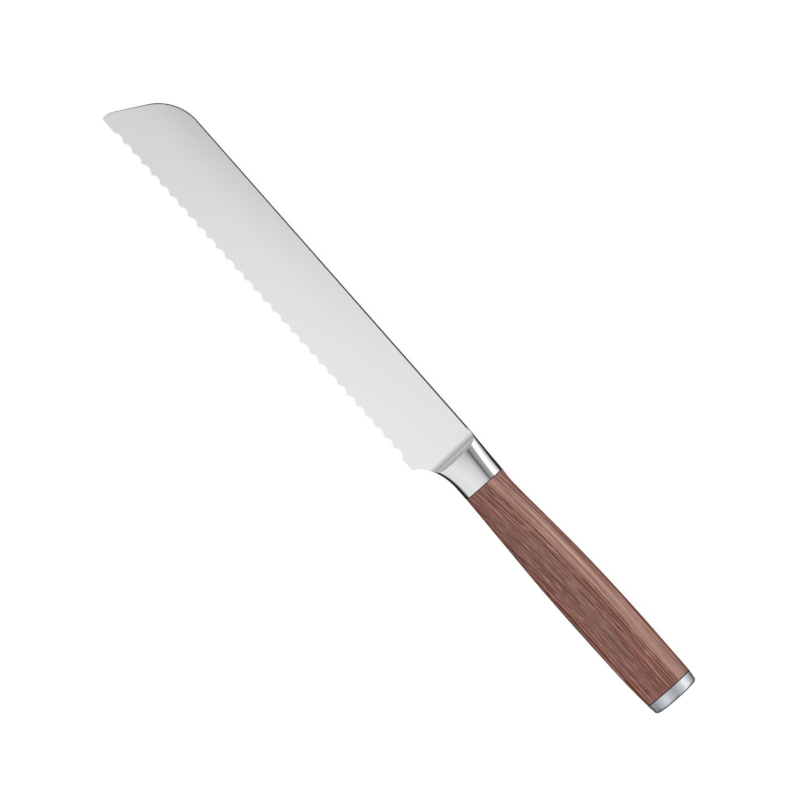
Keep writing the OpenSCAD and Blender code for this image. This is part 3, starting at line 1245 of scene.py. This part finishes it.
    def is_ramp(self, middle: Vector, normal: Vector) -> bool:
        """Tell whether a face belongs to the hollow ramp between blade and bolster."""
        foot = self.ramp_x + (1 - middle.y / self.blade_h) * self.ramp_skew
        above = abs(middle.z) - self.face(middle.x, middle.y)
        off = math.hypot(middle.x - foot, above - self.ramp_r) - self.ramp_r
        return middle.x > foot and abs(off) < 0.1 and normal.x < -0.01

    def is_ground_edge(self, middle: Vector, normal: Vector) -> bool:
        """Tell whether a face was ground into the right side, at the edge."""
        low_down = middle.y < 8 and middle.x < self.heel_x
        return low_down and middle.z < 0 and normal.y < -0.1 and normal.z < -0.5

    def plate(self) -> Workpiece:
        """Grind the blade's plate: taper, nose, rounded spine and plain edge."""
        low, high = KNIFE.at(0, 0, -self.spine_t), KNIFE.at(self.plate_x, self.blade_h, self.spine_t)
        plate = Workpiece.block("plate", low, high)
        for side in Side:
            plate.trim(KNIFE.at(0, 0, side.value * self.face(0, 0)),
                       Vector((-self.slope_x, -self.slope_y, side.value)))
        lean = math.radians(self.nose_angle)
        plate.trim(KNIFE.at(0, self.nose_land, 0), Vector((-math.sin(lean), math.cos(lean), 0)))
        plate.trim(KNIFE.at(self.ramp_x, self.blade_h, 0), Vector((self.top_fall, 1, 0)))
        nose_x = (self.blade_h - self.nose_land) / math.tan(lean)
        nose_reach = self.nose_r * math.tan(lean / 2) * MM
        plate.round_corner(KNIFE.at(nose_x, self.blade_h, 0), nose_reach, 28, 0.53)
        blend = math.tan((math.pi / 2 - lean) / 2) * self.nose_blend_r
        plate.round_corner(KNIFE.at(0, self.nose_land, 0), blend * MM, 8)
        plate.round_corner(KNIFE.at(0, 0, 0), self.tip_r * MM, 8)
        self.round_spine(plate)
        self.grind_plain_edge(plate)
        plate.divide_into_triangles()
        return plate

    @property
    def top_fall(self) -> float:
        """Slope at which the top line falls from the spine into the grip."""
        drop = self.blade_h - KNIFE.front.y - KNIFE.front.half_h
        return self.bolster_ease * drop / (KNIFE.grip_x - self.ramp_x)

    def round_spine(self, plate: Workpiece) -> None:
        """Round the spine and the front of the nose over their whole thickness.

        Args:
            plate: The blade's plate.
        """
        def runs_across(first: Vector, second: Vector) -> bool:
            """Tell whether an edge runs through the plate's thickness above the tip's corner."""
            level = (first.y - KNIFE.origin.y) / MM
            return (first.xy - second.xy).length < 0.001 * MM and level > self.tip_r - 0.01

        with plate.editing():
            plate.pick_edges(runs_across)
            bpy.ops.mesh.subdivide(number_cuts=2 * self.spine_rows - 1)
            mesh = bmesh.from_edit_mesh(plate.obj.data)
            mesh.normal_update()
            moves = []
            for corner in mesh.verts:
                rims = [face.normal for face in corner.link_faces
                        if abs(face.normal.z) < 0.5 and face.normal.x < 0.5 and face.normal.y > -0.1]
                if rims:
                    out = sum(rims, Vector()).normalized()
                    moves.append((corner, Vector((out.x, out.y, 0))))
            for corner, out in moves:
                place = (corner.co - KNIFE.origin) / MM
                half = self.face(place.x, place.y)
                depth, level = self.spine_row(round(abs(place.z) / half * self.spine_rows))
                depth *= half * min(max((place.y - self.tip_r) / self.spine_fade, 0), 1)
                whole = half * self.spine_row(self.spine_rows)[0]
                inner = place - out * whole
                place -= out * depth
                place.z = math.copysign(level * self.face(inner.x, inner.y), place.z)
                corner.co = KNIFE.at(*place)
            bmesh.update_edit_mesh(plate.obj.data)

    def spine_row(self, row: int) -> tuple[float, float]:
        """Give the crowned spine's section: two flats and an arc over each corner.

        Args:
            row: Number of the line along the spine, 0 on its crown, 1 where the flat beside the
                crown begins, 2 where it ends, and the last on the blade's side.

        Returns:
            Depth below the crown and height over the middle plane, as shares of half the thickness.
        """
        ridge_depth, ridge_level = self.spine_ridge
        if row < 2:
            return ridge_depth * row, ridge_level * row
        lean, corner_r = math.radians(self.spine_lean), self.spine_corner_r
        shoulder_level = 1 - corner_r * (1 - math.cos(lean))
        shoulder_depth = ridge_depth + (shoulder_level - ridge_level) / math.tan(lean)
        turn = lean * (self.spine_rows - row) / (self.spine_rows - 2)
        depth = shoulder_depth + corner_r * (math.sin(lean) - math.sin(turn))
        return depth, 1 - corner_r * (1 - math.cos(turn))

    def grind_plain_edge(self, plate: Workpiece) -> None:
        """Grind the edge's bevel into the right side."""
        plate.trim(KNIFE.at(0, 0, self.face(0, 0) - self.edge_land),
                   Vector((self.slope_x, -math.tan(math.radians(self.bevel_angle)), -1)))

    def choil_wheel(self) -> Workpiece:
        """Give the solid that hollows the choil behind the heel corner."""
        width, height = self.choil_size
        bpy.ops.mesh.primitive_cylinder_add(
            vertices=192, radius=1, depth=1, scale=(width * MM, height * MM, 6 * self.spine_t * MM),
            location=KNIFE.at(self.heel_x + self.choil_run, -self.choil_drop, 0),
        )
        return Workpiece("choil wheel")

    def edge_stone(self) -> Workpiece:
        """Give the block that takes the teeth's row up from the edge line, towards the heel."""
        run = self.last_scallop_x - self.tip_plain
        turn = math.atan(self.teeth_rise / run)
        length, height = run / math.cos(turn), 4.0
        top = Vector((self.tip_plain + run / 2, self.teeth_rise / 2, 0))
        centre = top + Vector((math.sin(turn), -math.cos(turn), 0)) * height / 2
        size = Vector((length, height, height)) * MM
        return Workpiece.turned_block("edge stone", KNIFE.at(*centre), size, Euler((0, 0, turn)))

    def scallop_wheels(self) -> list[Workpiece]:
        """Give the wheels that grind the scallops into the right side, in three sets that don't meet."""
        pitch, tooth_w, depth = self.pitch, self.tooth_w, self.scallop_depth
        count, sets = self.scallop_count, 3
        first = self.tip_plain + (pitch - tooth_w) / 2
        tilt = math.radians(self.scallop_angle)
        sag = depth * math.sin(tilt)
        radius = ((pitch - tooth_w) ** 2 / 4 + sag * sag) / (2 * sag)
        climb = self.teeth_rise * pitch / (self.last_scallop_x - self.tip_plain)
        out = Vector((0, -math.sin(tilt), -math.cos(tilt)))
        wheels = []
        for start in range(sets):
            x = first + start * pitch
            y = depth + climb * (x - self.tip_plain) / pitch
            centre = KNIFE.at(x, y, self.face(x, y)) + out * radius * MM
            turn = Euler((-math.pi / 2 - tilt, 0, 0))
            wheel = Workpiece.rod("wheel", centre, radius * MM, 16 * MM, turn, sides=160)
            step = Vector((pitch, climb, self.slope_x * pitch + self.slope_y * climb)) * sets * MM
            wheel.apply("ARRAY", count=(count - start + sets - 1) // sets, use_relative_offset=False,
                        use_constant_offset=True, constant_offset_displace=step)
            wheels.append(wheel)
        return wheels

    def bolster_section(self, x: float) -> Section:
        """Give the bolster's section, which comes out of the plate's own edges behind the ramp.

        Args:
            x: Place along the knife.

        Returns:
            The section.
        """
        # Behind the ramp's foot the bolster stands a hair proud of the plate, and ahead of it a
        # hair below, so that no two skins fall together.
        lip = min(max(0.03 * (x - self.ramp_x), -0.03), 0.03)
        share = 1 - (1 - max((x - self.ramp_x) / (KNIFE.grip_x - self.ramp_x), 0)) ** self.bolster_ease
        high = self.blade_h + (KNIFE.front.y + KNIFE.front.half_h - self.blade_h) * share + lip
        low = self.choil(x) - lip
        half_w = (self.bolster_w + (2 * KNIFE.front.half_w - self.bolster_w) * share) / 2
        return Section(x, (low + high) / 2, (high - low) / 2, half_w)

    def bolster(self, steps: int = 32, start: float = 195.0) -> Workpiece:
        """Draw the bolster out from the grip's front towards the blade, and hollow its ramps.

        Args:
            steps: Number of sections.
            start: Its front end, buried in the blade.

        Returns:
            The bolster.
        """
        places = [KNIFE.grip_x + (start - KNIFE.grip_x) * i / steps for i in range(steps + 1)]
        sections = [self.bolster_section(x) for x in places]
        bolster = Workpiece.oval("bolster", sections[0], GRIP.squareness)
        bolster.draw_out(sections)
        for side in Side:
            bolster.join_with(Joinery.CUT, *self.ramp_wheel(side))
        return bolster

    def ramp_wheel(self, side: Side, sink: float = 0.02) -> list[Workpiece]:
        """Give what is ground off the bolster in front of its hollow ramp.

        Args:
            side: The side of the knife.
            sink: How far below the blade's face it is ground.

        Returns:
            The round of the wheel and the block ahead of it.
        """
        sign = side.value
        reach = self.blade_h + 2
        tilt = math.atan(self.slope_y) * sign
        skew = math.atan(self.ramp_skew / self.blade_h)
        turn = Euler((tilt, 0, skew))
        foot = KNIFE.at(self.ramp_x, self.blade_h, sign * (self.face(self.ramp_x, self.blade_h) - sink))
        tall = 2 * KNIFE.front.half_w

        def place(x: float, z: float) -> Vector:
            """Turn a place beside the foot into the frame's metres."""
            return foot + turn.to_matrix() @ (Vector((x, 1 - reach / 2, sign * z)) * MM)

        wheel = Workpiece.rod("ramp wheel", place(0, self.ramp_r), self.ramp_r * MM, reach * MM,
                              Euler((tilt + math.pi / 2, 0, skew)), 192)
        block = Workpiece.turned_block("ramp block", place(-reach / 2, tall / 2),
                                       Vector((reach, reach, tall)) * MM, turn)
        return [wheel, block]

    def tang_and_tail(self) -> list[Workpiece]:
        """Give the flat tang and the round tail behind it."""
        height, thick, length = self.tang
        low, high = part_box("tang_bedding")
        middle_y = ((low.y + high.y) / 2 - KNIFE.origin.y) / MM
        end_x = KNIFE.grip_x + length
        tail_x = (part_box("forged_blade")[1].x - KNIFE.origin.x) / MM
        tang = Workpiece.block("tang", KNIFE.at(KNIFE.grip_x - 1, middle_y - height / 2, -thick / 2),
                               KNIFE.at(end_x, middle_y + height / 2, thick / 2))
        tail = Workpiece.rod("tail", KNIFE.at((end_x - 1 + tail_x) / 2, middle_y, 0), self.tail_d / 2 * MM,
                             (tail_x - end_x + 1) * MM, Euler((0, math.pi / 2, 0)))
        return [tang, tail]


FORGING = Forging()


# ---------------------------------------------------------------------------- hidden pieces


def dress_hidden_pieces() -> None:
    """Give each of the frame's own nodes inside the grip its material."""
    for finish, names in ((EPOXY, ["tang_bedding"]), (PLATED, ["tang_washer", "tang_nut", "cap_pins"])):
        material = finish.material()
        for name in names:
            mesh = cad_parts[name].data
            mesh.materials.clear()
            mesh.materials.append(material)
            LOG.info("%s: dressed", name)


# ---------------------------------------------------------------------------- the studio


@dataclass(frozen=True)
class Studio:
    """The table, the light and the camera.

    Args:
        distance: Height of the camera above the blade's middle plane, in millimetres.
        field: Width of the view at that plane, in millimetres.
        look_at: Place on the knife under the camera.
        heading: How far the knife's tip-to-butt line points below the picture's horizontal, in degrees.
        panel_height: Height of the softbox above the blade.
        panel_reach: Places along the knife where the softbox begins and ends.
        panel_fade: Length over which it fades out towards the tip, and what is left there.
        panel_glow: Its brightness at places across the knife, from one side to the other.
        walls: Brightness of the room at angles from overhead, positive towards the spine.
        ends: Its share at angles from overhead, positive towards the butt.
    """

    distance: float = 2000.0
    field: float = 329.4
    look_at: tuple[float, float] = (168.1, 15.4)
    heading: float = 48.585
    panel_height: float = 450.0
    panel_reach: tuple[float, float] = (-120.0, 520.0)
    panel_fade: tuple[float, float] = (220.0, 0.6)
    panel_glow: tuple[tuple[float, float], ...] = (
        (-330, 1.06), (-60, 1.04), (33, 0.91), (79, 0.77), (110, 0.62), (152, 0.36), (170, 0.16),
        (190, 0.14),
    )
    walls: tuple[tuple[float, float], ...] = (
        (-109, 0.02), (-98, 0.45), (-87, 1.0), (-20, 1.03), (20, 0.16), (24, 0.32), (28, 0.42), (38, 0.48),
        (43, 1.0), (47, 1.9), (62, 1.9), (68, 1.3), (78, 1.1), (90, 0.9), (99, 0.6), (110, 0.03),
    )
    ends: tuple[tuple[float, float], ...] = (
        (-180, 1.0), (-100, 1.0), (-85, 0.75), (-75, 0.48), (-60, 0.48), (-45, 0.88), (-30, 1.0), (60, 1.0),
        (80, 0.8), (95, 1.0),
    )

    def build(self) -> None:
        """Set up camera, table and light."""
        scene = bpy.context.scene
        scene.view_settings.view_transform = "Standard"
        self.camera()
        self.table()
        self.panel()
        self.light()

    def camera(self) -> None:
        """Hang the camera straight above the knife."""
        x, y = self.look_at
        bpy.ops.object.camera_add(
            location=KNIFE.at(x, y, self.distance), rotation=(0, 0, math.radians(self.heading))
        )
        camera = bpy.context.object
        camera.data.sensor_width = 36
        camera.data.lens = camera.data.sensor_width * self.distance / self.field
        camera.data.clip_end = 20
        bpy.context.scene.camera = camera

    def table(self) -> None:
        """Lay the pale table top under the knife."""
        bpy.ops.mesh.primitive_plane_add(size=8, location=(0, 0, 0))
        top = bpy.context.object
        top.name = "table_top"
        top.data.materials.append(Recipe("table, white laminate").surface(
            Base_Color=linear("#8c8c8c"), Roughness=0.9,
            Emission_Color=(1, 1, 1, 1), Emission_Strength=0.85,
        ))
        top.visible_glossy = False
        top.visible_diffuse = False

    def panel(self) -> None:
        """Hang a softbox close over the knife, fading out towards the tip and the spine."""
        left, right = self.panel_reach
        near, far = self.panel_glow[0][0], self.panel_glow[-1][0]
        bpy.ops.mesh.primitive_plane_add(
            size=1, location=KNIFE.at((left + right) / 2, (near + far) / 2, self.panel_height),
            rotation=(math.pi, 0, 0),
        )
        box = bpy.context.object
        box.name = "softbox"
        box.scale = ((right - left) * MM, (far - near) * MM, 1)
        bpy.ops.object.transform_apply(location=True, rotation=True, scale=True)
        recipe = Recipe("softbox cloth")
        axes = recipe.axes()
        length, least = self.panel_fade
        ends = [KNIFE.at(x, 0, 0).x for x in (left, left + length)]
        sides = [KNIFE.at(0, y, 0).y for y in (near, far)]
        peak = max(level for _, level in self.panel_glow)
        stops = [((y - near) / (far - near), level / peak) for y, level in self.panel_glow]
        glow = recipe.levels(recipe.spread(axes["Y"], *sides), stops)
        strength = recipe.maths("MULTIPLY", recipe.spread(axes["X"], *ends, least, 1.0), peak)
        shine = recipe.add("Emission", {"Color": glow, "Strength": strength})
        box.data.materials.append(recipe.close(shine))
        box.visible_camera = False
        box.visible_shadow = False

    def light(self) -> None:
        """Surround the knife with white walls: pale towards the edge, and towards the spine a
        dark gap, a bright strip and a pale wall, with a dark room beneath."""
        world = bpy.data.worlds.new("studio")
        world.use_nodes = True
        bpy.context.scene.world = world
        nodes = Nodes(world.node_tree)
        toward = nodes.axes("Generated")

        def round_axis(across: str, stops: Stops) -> bpy.types.NodeSocket:
            """Give light by the angle from overhead, in degrees, in the plane of Z and another axis."""
            turn = nodes.maths("ARCTAN2", toward[across], toward["Z"])
            peak = max(level for _, level in stops)
            grey = nodes.levels(nodes.spread(turn, -math.pi, math.pi),
                                [(angle / 360 + 0.5, level / peak) for angle, level in stops])
            return nodes.add("VectorMath", {0: grey, "Scale": peak}, operation="SCALE").outputs[0]

        both = {0: round_axis("Y", self.walls), 1: round_axis("X", self.ends)}
        walls = nodes.add("VectorMath", both, operation="MULTIPLY").outputs[0]
        seen = nodes.add("LightPath", {}).outputs["Is Camera Ray"]
        colour = nodes.mix(seen, walls, (1, 1, 1, 1))
        background = nodes.add("Background", {"Color": colour, "Strength": 1.0})
        output = nodes.add("OutputWorld", {"Surface": background.outputs[0]})
        output.is_active_output = True


def main() -> None:
    """Build the knife's pieces in order, then the studio."""
    logging.basicConfig(level=logging.INFO, format="%(message)s")
    FORGING.build()
    Handle().build()
    Spacer("front_spacer", share=0, recess=0.08).build()
    Spacer("rear_spacer", share=1, recess=0.12).build()
    EndCap().build()
    dress_hidden_pieces()
    Studio().build()


if __name__ == "__main__":
    main()
